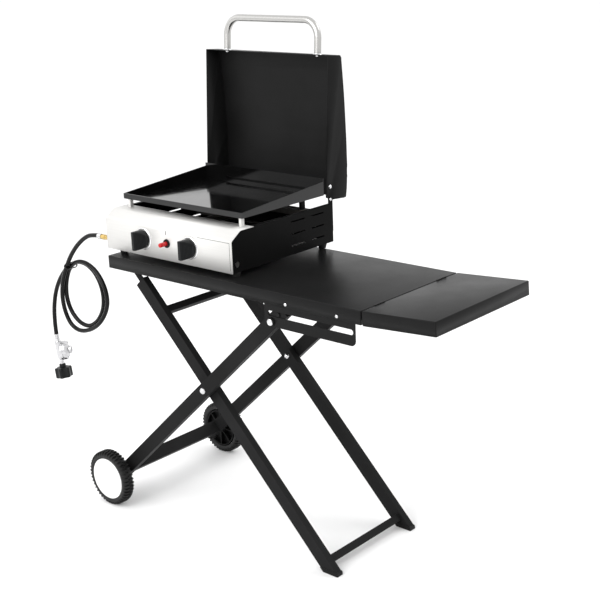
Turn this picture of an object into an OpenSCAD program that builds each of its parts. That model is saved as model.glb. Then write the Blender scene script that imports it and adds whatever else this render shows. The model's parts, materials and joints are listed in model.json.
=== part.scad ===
// Flat top griddle with lid, on a folding two-wheeled cart with a fold-over side shelf.
// Millimetres, +Z up, X along the table, front at -Y.
// The modules work from the table's front left corner at floor level; place() moves
// everything so that the origin is the middle of the object's footprint.

/* [Table] */
// Length of the table top, without the side shelf
table_l = 900; // [890:1:910]
// Depth of the table top, front to back
table_d = 394; // [390:1:400]
// Height of the table top's surface above the floor
table_h = 752; // [750:1:754]
// Height of the folded rim round the table top
rim_h = 35; // [33:1:36]
// Thickness of the table and shelf sheet
sheet = 1.5; // [1.2:0.1:2]

/* [Side shelf] */
// Length of the side shelf
shelf_l = 210; // [190:1:230]
// Angle at which the open shelf rests, above level
shelf_tilt = 3.65; // [3:0.05:4.5]

/* [Legs] */
// Width of a leg tube across its wide face
tube_w = 38; // [36:1:40]
// Thickness of a leg tube
tube_t = 20; // [18:1:21]
// Wall of the leg tubes
tube_wall = 1.5; // [1.2:0.1:2]
// Slope of the legs that carry the wheels
wheel_leg_angle = 42.8; // [42.6:0.1:43]
// Slope of the legs that stand on feet
foot_leg_angle = 45.7; // [45.5:0.1:45.9]
// Crossing bolt, distance from the table's left end
cross_x = 346.2; // [345:0.1:347]
// Crossing bolt, height above the floor
cross_z = 424.4; // [423:0.1:425]

/* [Wheels] */
// Diameter of the wheels over the tread
wheel_d = 164.4; // [160:0.2:168]
// Width of the wheels
wheel_w = 36; // [32:1:38]
// Number of tread blocks round a wheel
tread_blocks = 54; // [40:1:60]

/* [Griddle] */
// Width of the burner housing
body_w = 491; // [488:1:494]
// Width of the cooking plate
plate_w = 460; // [456:1:462]
// Depth of the cooking plate
plate_d = 327; // [325:1:328]
// Backward lean of the open lid
lid_lean = 3.87; // [3:0.1:5]
// Largest diameter of the control knobs
knob_d = 52; // [46:1:53]

/* [Hidden] */
$fn = 48;

// Table, in the frame of its front left corner
rim_z = table_h - rim_h;
under_z = table_h - sheet;
bracket_x = [591, 882];
bracket_z = [659, 746];
bracket_t = 2;
slot_x = [609, 868];
slot_z = 693.4;
slot_h = 14;
rivet_x = [663.5, 826.8];
rivet_z = 725.5;
rivet_d = 5;
lock_d = 8;
lock_head_d = 22;

// Legs: s runs along a leg from the crossing bolt
wheel_leg_y = 4.6;
foot_leg_y = 28.5;
wheel_leg_s = [-521, 413];
slide_pin_s = 396;
lock_s = 364.5;
slide_pin_d = 10;
foot_leg_top_s = -363;
foot_pivot_s = -418.4;
upper_bar_s = -255;
lower_bar_s = 557;
bar_t = 20;
foot_tip_x = 779.8;
foot_cap_t = 2.5;
pivot_pin_d = 8;
pivot_x = cross_x + foot_pivot_s * cos(foot_leg_angle);
pivot_z = cross_z - foot_pivot_s * sin(foot_leg_angle);
lock_x = cross_x + lock_s * cos(wheel_leg_angle);
lock_z = cross_z + lock_s * sin(wheel_leg_angle);

// Wheels
wheel_r = wheel_d / 2;
axle_d = 10;
axle_s = (wheel_r - cross_z) / sin(wheel_leg_angle);
axle_x = cross_x + axle_s * cos(wheel_leg_angle);
wheel_in = 19;
wheel_out = wheel_in + wheel_w;
hub_r = 58;
cap_bulge = 1.3;

// Side shelf: hinge axis, and the shelf in its own level frame about that axis
hinge_x = table_l + 1.2;
hinge_z = table_h + 0.5;
knuckle_r = 2;
hinge_pin_d = 2;
leaf_t = 1;
hinge_y = [70, table_d - 70];
hinge_w = 40;
shelf_x = 1.2;
shelf_top = -0.5;
shelf_rim = 36;

// Griddle body: y and z of its side outline
body_x = -27;
body_x2 = body_x + body_w;
body_mid = body_x + body_w / 2;
body_y = [24.5, 428.5];
body_z = [764.5, 873.5];
panel_t = 1;
chamfer = [[24.5, 850.5], [59.5, 873.5]];
ledge_y = 110;
back_top = 846;
foot_h = body_z[0] - table_h;
knob_x = [127, 309];
knob_z = 812;
knob_l = 36;
knob_travel = 3;
igniter_z = 812;
igniter_x = 221;
button_travel = 5;
manifold_y = 45;
manifold_z = 786;
drawer_x = [58, 398];
drawer_z = [798, 846];
drawer_y = 395;
vent_rows = [789, 821, 855];

// Cooking plate
plate_x = body_mid - plate_w / 2;
plate_y = 83.5;
plate_z = 897;
plate_t = 3;
wall_t = 2;
plate_back = plate_y + plate_d;

// Lid: outline of its side in its own upright frame, from the pivot
// (first number towards the back, second up)
lid_pivot = [434, 918];
lid_w = 466;
lid_x = body_mid - lid_w / 2;
lid_stop_r = 36;
lid_back = [[72, -38.5], [75, 10], [71, 97], [63.5, 175], [54.3, 256], [40, 353]];
lid_rim = -16;
lid_top = 357;
ear_t = 2.5;
ear_gap = 0.5;
stop_pin_d = 5;
lid_bolt_d = 6;
handle_w = 345;
handle_d = 20;
handle_reach = 94;
handle_bend = 48;

// Hose: outside diameter and the points that it follows
hose_d = 13;
fitting_x = [-18, -77, -92];
route = [
    [-92, 45, 787], [-130, 45, 781], [-158, 45, 768], [-187, 45, 747],
    [-212, 45, 723], [-233, 46, 699], [-251, 46, 672], [-269, 46, 640],
    [-284, 47, 602], [-290, 48, 561], [-283, 49, 521], [-263, 50, 488],
    [-229, 51, 474], [-186, 52, 481], [-141, 53, 505], [-107, 54, 541],
    [-90, 55, 579], [-93, 56, 616], [-111, 57, 649], [-140, 58, 675],
    [-178, 58, 689], [-217, 58, 686], [-251, 59, 665], [-273, 60, 631],
    [-285, 61, 591], [-284, 62, 553], [-268, 63, 519], [-236, 64, 494],
    [-195, 65, 490], [-155, 66, 513], [-128, 67, 551], [-121, 68, 592],
    [-131, 69, 630], [-156, 70, 662], [-193, 71, 680], [-237, 72, 679],
    [-283, 73, 656], [-325, 74, 616], [-356, 75, 567], [-372, 75, 516],
    [-377, 75, 468], [-376, 75, 425]];
hose_sides = 10;
hose_tilt = -9;

// The footprint's middle, measured without the hose
lid_back_y = lid_pivot.x + lid_back[2].x * cos(lid_lean) + lid_back[2].y * sin(lid_lean);
shelf_end = hinge_x + (shelf_x + shelf_l) * cos(shelf_tilt)
    + (shelf_rim - shelf_top) * sin(shelf_tilt);
middle = [(axle_x - wheel_r + shelf_end) / 2, (lid_back_y - wheel_out - cap_bulge) / 2];

// ---- Helpers ----

module place() {
    translate([-middle.x, -middle.y, 0]) children();
}

// The same thing mirrored to the rear side of the table
module rear_side() {
    translate([0, table_d, 0]) mirror([0, 1, 0]) children();
}

module both_sides() {
    children();
    rear_side() children();
}

// The same thing mirrored about the middle of the griddle
module both_ends() {
    children();
    translate([2 * body_mid, 0, 0]) mirror([1, 0, 0]) children();
}

module box(a, b) {
    translate(a) cube(b - a);
}

// A y-z outline carried along X
module along_x(x0, x1) {
    translate([x0, 0, 0]) rotate([90, 0, 90]) linear_extrude(x1 - x0) children();
}

// An x-z outline carried along Y
module along_y(y0, y1) {
    translate([0, y1, 0]) rotate([90, 0, 0]) linear_extrude(y1 - y0) children();
}

module rod_x(x0, x1, y, z, d) {
    translate([x0, y, z]) rotate([0, 90, 0]) cylinder(d = d, h = x1 - x0);
}

module rod_y(x, z, y0, y1, d) {
    translate([x, y1, z]) rotate([90, 0, 0]) cylinder(d = d, h = y1 - y0);
}

// A low round dome, flat side at z = 0
module dome(d, h) {
    rotate_extrude() polygon(concat([[0, 0]], [for (a = [0 : 15 : 90]) [d / 2 * cos(a), h * sin(a)]]));
}

// A plate with its two lower corners rounded
module rounded_plate(x, z, r) {
    translate([x[0], z[0] + r]) square([x[1] - x[0], z[1] - z[0] - r]);
    translate([x[0] + r, z[0]]) square([x[1] - x[0] - 2 * r, r]);
    for (cx = [x[0] + r, x[1] - r]) translate([cx, z[0] + r]) circle(r);
}

// Frames of the two pairs of legs: X along the leg, Z across its wide face
module along_wheel_leg() {
    translate([cross_x, 0, cross_z]) rotate([0, -wheel_leg_angle, 0]) children();
}

module along_foot_leg() {
    translate([cross_x, 0, cross_z]) rotate([0, foot_leg_angle, 0]) children();
}

function unit(v) = v / norm(v);
function side_of(a, b) = let (d = unit(b - a)) [-d.y, d.x];
function miter(p, i) = let (
    n0 = side_of(p[max(i - 1, 0)], p[max(i, 1)]),
    n1 = side_of(p[min(i, len(p) - 2)], p[min(i + 1, len(p) - 1)]),
    m = n0 + n1) 2 * m / (m * m);
// Outline of a bent sheet of thickness t to the left of a line of points
function bent_sheet(p, t) = concat(p, [for (i = [len(p) - 1 : -1 : 0]) p[i] + t * miter(p, i)]);

// ---- Table ----

module hinge_notches(x0, x1, z0) {
    for (y = hinge_y) box([x0, y - hinge_w / 2 - 0.5, z0], [x1, y + hinge_w / 2 + 0.5, z0 + 10]);
}

module table_top() {
    color("#1b1b1b") place() difference() {
        box([0, 0, rim_z], [table_l, table_d, table_h]);
        box([sheet, sheet, rim_z - 1], [table_l - sheet, table_d - sheet, under_z]);
        hinge_notches(table_l - 1.1, table_l + 1, hinge_z - knuckle_r - 0.3);
        both_sides() for (x = rivet_x) rod_y(x, rivet_z, -1, sheet + 1, rivet_d + 0.2);
    }
}

module slide_bracket() {
    color("#1b1b1b") along_y(sheet, sheet + bracket_t) difference() {
        rounded_plate(bracket_x, bracket_z, 14);
        translate([slot_x[0], slot_z - slot_h / 2]) square([slot_x[1] - slot_x[0], slot_h]);
        for (x = slot_x) translate([x, slot_z]) circle(slot_h / 2);
        for (x = rivet_x) translate([x, rivet_z]) circle(rivet_d / 2 + 0.1);
        translate([lock_x, lock_z]) circle(lock_d / 2 + 0.1);
    }
}

module slide_bracket_front() {
    place() slide_bracket();
}

module slide_bracket_rear() {
    place() rear_side() slide_bracket();
}

module bracket_rivets() {
    color("silver") place() both_sides() for (x = rivet_x) {
        rod_y(x, rivet_z, 0, sheet + bracket_t, rivet_d);
        translate([x, 0, rivet_z]) rotate([90, 0, 0]) dome(9, 2.2);
    }
}

module leg_hinge_brackets() {
    ear = 12;
    bar_y = foot_leg_y + tube_t / 2;
    color("#1b1b1b") place() both_sides() difference() {
        union() {
            for (y = [bar_y - 6.3, bar_y + 3.3]) along_y(y, y + 3) {
                translate([pivot_x - ear, pivot_z]) square([2 * ear, under_z - pivot_z]);
                translate([pivot_x, pivot_z]) circle(ear);
            }
            box([pivot_x - ear, bar_y - 6.3, under_z - 2], [pivot_x + ear, bar_y + 6.3, under_z]);
        }
        rod_y(pivot_x, pivot_z, bar_y - 10, bar_y + 10, pivot_pin_d + 0.1);
    }
}

module leg_hinge_pins() {
    bar_y = foot_leg_y + tube_t / 2;
    color("silver") place() both_sides() {
        rod_y(pivot_x, pivot_z, bar_y - 6.3, bar_y + 6.3, pivot_pin_d);
        rod_y(pivot_x, pivot_z, bar_y - 8.3, bar_y - 6.3, pivot_pin_d + 5);
        rod_y(pivot_x, pivot_z, bar_y + 6.3, bar_y + 8.3, pivot_pin_d + 5);
    }
}

// Pull knob whose pin ends flush with the inner face of the slide bracket
module lock_pin() {
    color("silver") {
        rod_y(lock_x, lock_z, 0, sheet + bracket_t, lock_d);
        rod_y(lock_x, lock_z, -4, sheet - 0.3, lock_head_d);
        translate([lock_x, -4, lock_z]) rotate([90, 0, 0]) dome(lock_head_d, 3.5);
    }
}

module lock_pin_front() {
    place() lock_pin();
}

module lock_pin_rear() {
    place() rear_side() lock_pin();
}

// ---- Side shelf ----

module shelf_frame() {
    translate([hinge_x, 0, hinge_z]) rotate([0, -shelf_tilt, 0]) children();
}

module side_shelf() {
    end = shelf_x + shelf_l;
    low = shelf_top - shelf_rim;
    color("#1b1b1b") place() shelf_frame() difference() {
        box([shelf_x, 0, low], [end, table_d, shelf_top]);
        box([shelf_x + sheet, sheet, low - 1], [end - sheet, table_d - sheet, shelf_top - sheet]);
        hinge_notches(shelf_x - 1, shelf_x + 1.4, -knuckle_r - 0.3);
    }
}

// Knuckles number 0, 2 and 4 belong to the table, 1 and 3 to the shelf
module knuckles(numbers) {
    pitch = hinge_w / 5;
    for (y = hinge_y, n = numbers) {
        y0 = y - hinge_w / 2 + n * pitch;
        difference() {
            union() {
                rod_y(0, 0, y0 + 0.15, y0 + pitch - 0.15, 2 * knuckle_r);
                box([0.2, y0 + 0.15, -knuckle_r - 0.8], [0.2 + leaf_t, y0 + pitch - 0.15, 0]);
            }
            rod_y(0, 0, y0 - 1, y0 + pitch + 1, hinge_pin_d + 0.1);
        }
    }
    for (y = hinge_y) box([0.2, y - hinge_w / 2, -25], [0.2 + leaf_t, y + hinge_w / 2, -knuckle_r - 0.4]);
}

module table_hinge_leaves() {
    color("#2a2a2a") place() translate([hinge_x, 0, hinge_z]) mirror([1, 0, 0]) knuckles([0, 2, 4]);
}

module shelf_hinge_leaves() {
    color("#2a2a2a") place() shelf_frame() knuckles([1, 3]);
}

module shelf_hinge_pins() {
    color("silver") place() for (y = hinge_y)
        rod_y(hinge_x, hinge_z, y - hinge_w / 2, y + hinge_w / 2, hinge_pin_d);
}

module shelf_stops() {
    gap = 1.2 + shelf_x + (rim_h - 8) * sin(shelf_tilt) - 0.5;
    color("#111111") place() for (y = [30, table_d - 30])
        rod_x(table_l, table_l + gap, y, rim_z + 8, 12);
}

// ---- Legs on feet ----

module foot_leg_outline(top_s, width, z0, tip) {
    intersection() {
        translate([cross_x, cross_z]) rotate(-foot_leg_angle)
            translate([top_s, -width / 2]) square([1000 - top_s, width]);
        translate([0, z0]) square([tip, table_h]);
    }
}

module foot_leg() {
    y = foot_leg_y;
    color("#1b1b1b") difference() {
        along_y(y, y + tube_t) foot_leg_outline(foot_leg_top_s, tube_w, foot_cap_t, foot_tip_x);
        along_y(y + tube_wall, y + tube_t - tube_wall)
            foot_leg_outline(foot_leg_top_s - 1, tube_w - 2 * tube_wall, foot_cap_t - 1,
                foot_tip_x - tube_wall);
        rod_y(cross_x, cross_z, y - 1, y + tube_t + 1, pivot_pin_d + 0.1);
    }
}

module foot_leg_front() {
    place() foot_leg();
}

module foot_leg_rear() {
    place() rear_side() foot_leg();
}

// A plug in the end of the tube with a flat bar that runs on to the hinge pin
module foot_leg_pivot_bars() {
    y = foot_leg_y + tube_t / 2;
    fit = tube_wall + 0.1;
    half = tube_w / 2 - fit;
    color("#1b1b1b") place() both_sides() along_foot_leg() difference() {
        union() {
            box([foot_leg_top_s, y - tube_t / 2 + fit, -half],
                [foot_leg_top_s + 25, y + tube_t / 2 - fit, half]);
            box([foot_pivot_s, y - 3, -8], [foot_leg_top_s + 1, y + 3, 8]);
            rod_y(foot_pivot_s, 0, y - 3, y + 3, 16);
        }
        rod_y(foot_pivot_s, 0, y - 5, y + 5, pivot_pin_d + 0.1);
    }
}

module foot_frame_bars() {
    y0 = foot_leg_y + tube_t;
    half = bar_t / 2;
    inner = half - tube_wall;
    color("#1b1b1b") place() along_foot_leg() for (s = [upper_bar_s, lower_bar_s]) difference() {
        box([s - half, y0, -half], [s + half, table_d - y0, half]);
        box([s - inner, y0 - 1, -inner], [s + inner, table_d - y0 + 1, inner]);
    }
}

module foot_caps() {
    skin = 1.2;
    y = foot_leg_y;
    color("#141414") place() both_sides() difference() {
        along_y(y - skin, y + tube_t + skin) intersection() {
            foot_leg_outline(0, tube_w + 2 * skin, 0, foot_tip_x + skin);
            square([table_l, 11]);
        }
        along_y(y, y + tube_t) foot_leg_outline(0, tube_w, foot_cap_t, foot_tip_x);
    }
}

// Bolt, washer between the legs and domed nut, for both pairs of legs
module crossing_bolts() {
    head_y = wheel_leg_y - 0.3;
    nut_y = foot_leg_y + tube_t;
    color("silver") place() both_sides() {
        rod_y(cross_x, cross_z, head_y, nut_y + 1, pivot_pin_d);
        translate([cross_x, head_y, cross_z]) rotate([90, 0, 0]) dome(19, 8.5);
        rod_y(cross_x, cross_z, wheel_leg_y + tube_t + 0.3, foot_leg_y, 24);
        translate([cross_x, nut_y, cross_z]) rotate([-90, 0, 0]) dome(17, 9);
    }
}

// ---- Legs on wheels ----

module wheel_leg() {
    y = wheel_leg_y;
    half = tube_w / 2;
    in_half = half - tube_wall;
    color("#1b1b1b") along_wheel_leg() difference() {
        box([wheel_leg_s[0], y, -half], [wheel_leg_s[1], y + tube_t, half]);
        box([wheel_leg_s[0] - 1, y + tube_wall, -in_half],
            [wheel_leg_s[1] + 1, y + tube_t - tube_wall, in_half]);
        rod_y(0, 0, y - 1, y + tube_t + 1, pivot_pin_d + 0.1);
        rod_y(axle_s, 0, y - 1, y + tube_t + 1, axle_d + 0.1);
        rod_y(slide_pin_s, 0, y - 1, y + tube_t + 1, slide_pin_d + 0.1);
        rod_y(lock_s, 0, y - 1, y + tube_wall + 1, lock_d + 1);
    }
}

module wheel_leg_front() {
    place() wheel_leg();
}

module wheel_leg_rear() {
    place() rear_side() wheel_leg();
}

module axle_crossmember() {
    y0 = wheel_leg_y + tube_t;
    s = axle_s + 37;
    t = tube_t / 2;
    h = tube_w / 2;
    w = tube_wall;
    color("#1b1b1b") place() along_wheel_leg() difference() {
        box([s - t, y0, -h], [s + t, table_d - y0, h]);
        box([s - t + w, y0 - 1, -h + w], [s + t - w, table_d - y0 + 1, h - w]);
    }
}

module leg_end_plugs() {
    y = wheel_leg_y;
    half = tube_w / 2;
    fit = tube_wall + 0.1;
    color("#0e0e0e") place() both_sides() along_wheel_leg() for (k = [0, 1]) {
        s = wheel_leg_s[k];
        out = k == 0 ? -2 : 2;
        box([min(s, s + out), y, -half], [max(s, s + out), y + tube_t, half]);
        in = k == 0 ? 7 : -7;
        box([min(s, s + in), y + fit, -half + fit], [max(s, s + in), y + tube_t - fit, half - fit]);
    }
}

module slide_pins() {
    color("#141414") place() both_sides() along_wheel_leg()
        rod_y(slide_pin_s, 0, 0.8, wheel_leg_y + tube_t, slide_pin_d);
}

module axle() {
    end_y = wheel_out - 8;
    color("silver") place() {
        rod_y(axle_x, wheel_r, -end_y, table_d + end_y, axle_d);
        both_sides() translate([axle_x, -end_y + 2, wheel_r]) rotate([90, 0, 0])
            cylinder(d = 18, h = 5, $fn = 6);
    }
}

module axle_sleeves() {
    color("silver") place() both_sides() difference() {
        rod_y(axle_x, wheel_r, -wheel_in + 0.3, wheel_leg_y, 17);
        rod_y(axle_x, wheel_r, -wheel_in - 1, wheel_leg_y + 1, axle_d + 0.1);
    }
}

// ---- Wheels, drawn along +Z from the leg outwards ----

module wheel_frame_front() {
    translate([axle_x, 0, wheel_r]) rotate([90, 0, 0]) children();
}

// One row of tread blocks as a toothed ring; turn shifts it by a part of a block
module tread_row(turn) {
    step = 360 / tread_blocks;
    root = wheel_r - 3.5;
    polygon([for (i = [0 : tread_blocks - 1], p = [[-0.29, root], [-0.25, wheel_r], [0.25, wheel_r], [0.29, root]])
        let (a = (i + turn + p.x) * step - 90) p.y * [cos(a), sin(a)]]);
}

module tyre() {
    color("#191919") difference() {
        union() {
            translate([0, 0, wheel_in]) linear_extrude(wheel_w * 0.45) tread_row(0);
            translate([0, 0, wheel_in + wheel_w * 0.45]) linear_extrude(wheel_w * 0.1)
                circle(wheel_r - 3.5);
            translate([0, 0, wheel_in + wheel_w * 0.55]) linear_extrude(wheel_w * 0.45) tread_row(0.5);
        }
        translate([0, 0, wheel_in - 1]) cylinder(r = hub_r, h = wheel_w + 2);
    }
}

module hub() {
    rim = 3;
    web_z = wheel_out - 8;
    color("#1d1d1d") difference() {
        union() {
            difference() {
                translate([0, 0, wheel_in + 1]) cylinder(r = hub_r - 0.05, h = wheel_w - 5);
                translate([0, 0, wheel_in]) cylinder(r = hub_r - rim, h = wheel_w);
            }
            translate([0, 0, wheel_in + 15]) cylinder(r = hub_r - 1, h = 3);
            translate([0, 0, wheel_in]) cylinder(d = 30, h = wheel_w - 9);
            for (a = [0 : 45 : 315]) rotate(a)
                translate([12, -1.5, wheel_in + 3]) cube([hub_r - 14, 3, 13]);
        }
        translate([0, 0, wheel_in - 1]) cylinder(d = axle_d + 0.1, h = wheel_w + 2);
        translate([0, 0, web_z - 3]) cylinder(d = 22, h = 20);
    }
}

module hub_cap() {
    z = wheel_out - 3.5;
    color("white") translate([0, 0, z]) difference() {
        union() {
            cylinder(r = hub_r - 0.05, h = 3.5);
            translate([0, 0, 3.5]) dome(2 * hub_r - 10, cap_bulge);
        }
        translate([0, 0, -1]) cylinder(r = hub_r - 3, h = 2.5);
    }
}

module tyre_front() {
    place() wheel_frame_front() tyre();
}

module tyre_rear() {
    place() rear_side() wheel_frame_front() tyre();
}

module hub_front() {
    place() wheel_frame_front() hub();
}

module hub_rear() {
    place() rear_side() wheel_frame_front() hub();
}

module hub_cap_front() {
    place() wheel_frame_front() hub_cap();
}

module hub_cap_rear() {
    place() rear_side() wheel_frame_front() hub_cap();
}

// ---- Griddle body ----

module front_panel() {
    line = [[body_y[0], body_z[0]], chamfer[0], chamfer[1], [ledge_y, body_z[1]]];
    color("#c9c9c7") place() difference() {
        along_x(body_x, body_x2) polygon(bent_sheet(line, -panel_t));
        for (x = knob_x) rod_y(x, knob_z, 20, 30, 20.2);
        rod_y(igniter_x, igniter_z, 20, 30, 16.2);
    }
}

// Side sheet with rows of long vents and a flange turned in along the top
module side_panel() {
    x = body_x + panel_t;
    y0 = body_y[0] + panel_t;
    top = body_z[1] - panel_t;
    color("#181818") difference() {
        union() {
            along_x(x, x + panel_t) polygon([[y0, body_z[0]], [y0, chamfer[0].y - 0.9],
                [chamfer[1].x + 1, top], [body_y[1], top], [body_y[1], body_z[0]]]);
            box([x, ledge_y + 0.5, top - panel_t], [x + 11, body_y[1], top]);
        }
        for (z = vent_rows, y = [255, 339])
            along_x(x - 1, x + 2) translate([y, z - 2]) square([y == 255 ? 55 : 51, 4]);
        rod_x(x - 1, x + 2, manifold_y, manifold_z, 16);
    }
}

module side_panels() {
    place() both_ends() side_panel();
}

module back_panel() {
    x0 = body_x + 2 * panel_t;
    color("#181818") place() difference() {
        box([x0, body_y[1] - panel_t, body_z[0] + panel_t],
            [body_x2 - 2 * panel_t, body_y[1], back_top]);
        box([drawer_x[0] - 0.4, body_y[1] - 3, drawer_z[0] - 0.4],
            [drawer_x[1] + 0.4, body_y[1] + 3, back_top + 1]);
    }
}

module bottom_pan() {
    x0 = body_x + 2 * panel_t;
    y0 = body_y[0] + panel_t;
    color("#9d9d9b") place()
        box([x0, y0, body_z[0]], [body_x2 - 2 * panel_t, body_y[1], body_z[0] + panel_t]);
}

module rubber_feet() {
    color("#0d0d0d") place() for (x = [15, 452], y = [48, 393])
        translate([x, y, table_h]) cylinder(d1 = 20, d2 = 26, h = foot_h);
}

module gas_manifold() {
    color("#8f8f8d") place() difference() {
        rod_x(fitting_x[0], knob_x[1] + 30, manifold_y, manifold_z, 14);
        rod_x(fitting_x[0] - 1, knob_x[1] + 27, manifold_y, manifold_z, 10);
        for (x = knob_x) translate([x, manifold_y, manifold_z]) cylinder(d = 4, h = 10);
    }
}

module valves() {
    color("#b5964b") place() for (x = knob_x) difference() {
        union() {
            box([x - 10, manifold_y - 11, manifold_z - 10], [x + 10, manifold_y + 11, knob_z]);
            rod_y(x, knob_z, 27, 60, 20);
            rod_y(x, knob_z, 60, 74, 8);
        }
        rod_x(x - 11, x + 11, manifold_y, manifold_z, 14.1);
        rod_y(x, knob_z, 26, 52, 6.1);
        rod_y(x, knob_z, 50, 75, 2);
        translate([x, manifold_y, manifold_z]) cylinder(d = 4, h = 20);
    }
}

// Straight tube burners with flame ports on both flanks
module burners() {
    y0 = 68;
    y1 = 386;
    color("#a8a8a5") place() for (x = knob_x) difference() {
        rod_y(x, knob_z, y0, y1, 24);
        rod_y(x, knob_z, y0 - 1, y1 - 2, 21);
        for (i = [0 : 9]) rod_x(x - 15, x + 15, 125 + 27 * i, knob_z + 4, 3);
    }
}

// A strip under the burners and an angle that carries the plate's rear posts
module support_rails() {
    x = [body_x + 2 * panel_t, body_x2 - 2 * panel_t];
    top = body_z[1] - 2 * panel_t;
    color("#7f7f7d") place() {
        box([x[0], 366, knob_z - 15], [x[1], 380, knob_z - 12.2]);
        along_x(x[0], x[1]) polygon(bent_sheet([[350, top], [320, top], [320, top - 16]], 2));
    }
}

module knob_bezels() {
    color("#d8d8d8") place() for (x = knob_x) difference() {
        rod_y(x, knob_z, body_y[0] - 2, body_y[0], knob_d + 9);
        rod_y(x, knob_z, body_y[0] - 3, body_y[0] + 1, knob_d + 2);
    }
}

module spindle(x) {
    color("#b9b9b9") rod_y(x, knob_z, 4, 51, 6);
}

module spindle_left() {
    place() spindle(knob_x[0]);
}

module spindle_right() {
    place() spindle(knob_x[1]);
}

module knob(x) {
    back = body_y[0] - knob_travel - 0.3;
    r = knob_d / 2;
    plan = [[-r, 0], [-r, 5], [-r + 3, 8], [-5, knob_l], [5, knob_l], [r - 3, 8], [r, 5], [r, 0]];
    color("#161616") difference() {
        intersection() {
            rod_y(x, knob_z, back - knob_l, back, knob_d);
            translate([x, back, knob_z - r]) rotate([0, 0, 180]) linear_extrude(2 * r) polygon(plan);
        }
        rod_y(x, knob_z, 0.5, back + 1, 6.1);
    }
}

module knob_left() {
    place() knob(knob_x[0]);
}

module knob_right() {
    place() knob(knob_x[1]);
}

module igniter_body() {
    color("#101010") place() difference() {
        union() {
            rod_y(igniter_x, igniter_z, body_y[0] - 4, body_y[0], 24);
            rod_y(igniter_x, igniter_z, body_y[0] - 1, 62, 16);
        }
        rod_y(igniter_x, igniter_z, body_y[0] - 6, 56, 12.2);
    }
}

module igniter_button() {
    color("#b3120f") place() {
        rod_y(igniter_x, igniter_z, -1, 49, 12);
        translate([igniter_x, -1, igniter_z]) rotate([90, 0, 0]) dome(12, 3);
    }
}

// Shallow drawer behind the plate that catches what runs through its rear slot
module grease_drawer() {
    x = drawer_x;
    z = drawer_z;
    y1 = body_y[1];
    color("#1d1d1d") place() {
        difference() {
            box([x[0], drawer_y, z[0]], [x[1], y1, z[1] - 6]);
            box([x[0] + 1, drawer_y + 1, z[0] + 1], [x[1] - 1, y1 - 1, z[1]]);
        }
        box([x[0], y1 - 1, z[0]], [x[1], y1, z[1]]);
        box([body_mid - 40, y1 - 0.5, z[0] + 8], [body_mid + 40, y1 + 14, z[0] + 10]);
    }
}

// ---- Cooking plate ----

module griddle_plate() {
    x2 = plate_x + plate_w;
    front_top = 912;
    side_top = 936;
    back_top_z = 945;
    color("#0b0b0b") place() difference() {
        union() {
            box([plate_x, plate_y, plate_z], [x2, plate_back, plate_z + plate_t]);
            box([plate_x, plate_y, plate_z], [x2, plate_y + wall_t, front_top]);
            box([plate_x, plate_back - wall_t, plate_z], [x2, plate_back, back_top_z]);
            for (x = [plate_x, x2 - wall_t]) along_x(x, x + wall_t)
                polygon([[plate_y, plate_z], [plate_back, plate_z], [plate_back, side_top],
                    [plate_y, front_top]]);
        }
        box([72, plate_back - 5, 906], [383, plate_back + 5, 913]);
    }
}

module plate_posts() {
    color("#141414") place() both_ends() {
        box([-2, 90, body_z[1]], [7, 102, plate_z]);
        box([-2, 326, body_z[1] - 2 * panel_t], [7, 342, plate_z]);
    }
}

// ---- Lid, drawn upright about its pivot ----

module lid_frame() {
    translate([0, lid_pivot.x, lid_pivot.y]) rotate([-lid_lean, 0, 0]) children();
}

// Uprights on the back of the body that carry the lid's pivots and stop pins
module lid_bracket() {
    x = lid_x + sheet + ear_gap;
    y = body_y[1];
    reach = 12;
    color("#1a1a1a") difference() {
        union() {
            along_x(x, x + ear_t) {
                translate([y, 790]) square([lid_pivot.x + reach - y, lid_pivot.y - 790]);
                translate(lid_pivot) circle(reach);
            }
            box([x, y, 790], [x + 30, y + ear_t, back_top - 4]);
        }
        rod_x(x - 1, x + ear_t + 1, lid_pivot.x, lid_pivot.y, lid_bolt_d + 0.1);
    }
}

module lid_brackets() {
    place() both_ends() lid_bracket();
}

module lid_bolts() {
    x = lid_x + sheet + ear_gap;
    stop_z = lid_pivot.y - lid_stop_r;
    color("silver") place() both_ends() {
        rod_x(lid_x - 0.3, x + ear_t + 4, lid_pivot.x, lid_pivot.y, lid_bolt_d);
        translate([lid_x - 0.3, lid_pivot.x, lid_pivot.y]) rotate([0, -90, 0]) dome(12, 4);
        rod_x(x + ear_t, x + ear_t + 4, lid_pivot.x, lid_pivot.y, 11);
        rod_x(lid_x - 0.3, x, lid_pivot.x, stop_z, stop_pin_d);
        translate([lid_x - 0.3, lid_pivot.x, stop_z]) rotate([0, -90, 0]) dome(9, 2.5);
    }
}

// Side outline with the corner below the pivot cut back so that it clears the stop pin
module lid_side() {
    clear_r = lid_stop_r - stop_pin_d / 2 - 0.5;
    difference() {
        polygon(concat([[lid_rim, -33], [2.5, -37.5]], lid_back, [[lid_rim, lid_top]]));
        difference() {
            translate([-30, -60]) square([30.05 + stop_pin_d / 2 + lid_stop_r * sin(lid_lean), 60]);
            circle(clear_r);
        }
    }
}

module lid() {
    line = concat([[lid_rim, lid_top]], [for (i = [len(lid_back) - 1 : -1 : 0]) lid_back[i]],
        [[66, -38.4]]);
    x2 = lid_x + lid_w;
    color("#191919") place() lid_frame() difference() {
        union() {
            along_x(lid_x, x2) polygon(bent_sheet(line, -sheet));
            for (x = [lid_x, x2 - sheet]) along_x(x, x + sheet) lid_side();
        }
        rod_x(lid_x - 1, lid_x + sheet + 1, 0, 0, lid_bolt_d + 0.1);
        rod_x(x2 - sheet - 1, x2 + 1, 0, 0, lid_bolt_d + 0.1);
        handle_feet() translate([0, 0, -4]) cylinder(d = 5.1, h = 8);
    }
}

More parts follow.
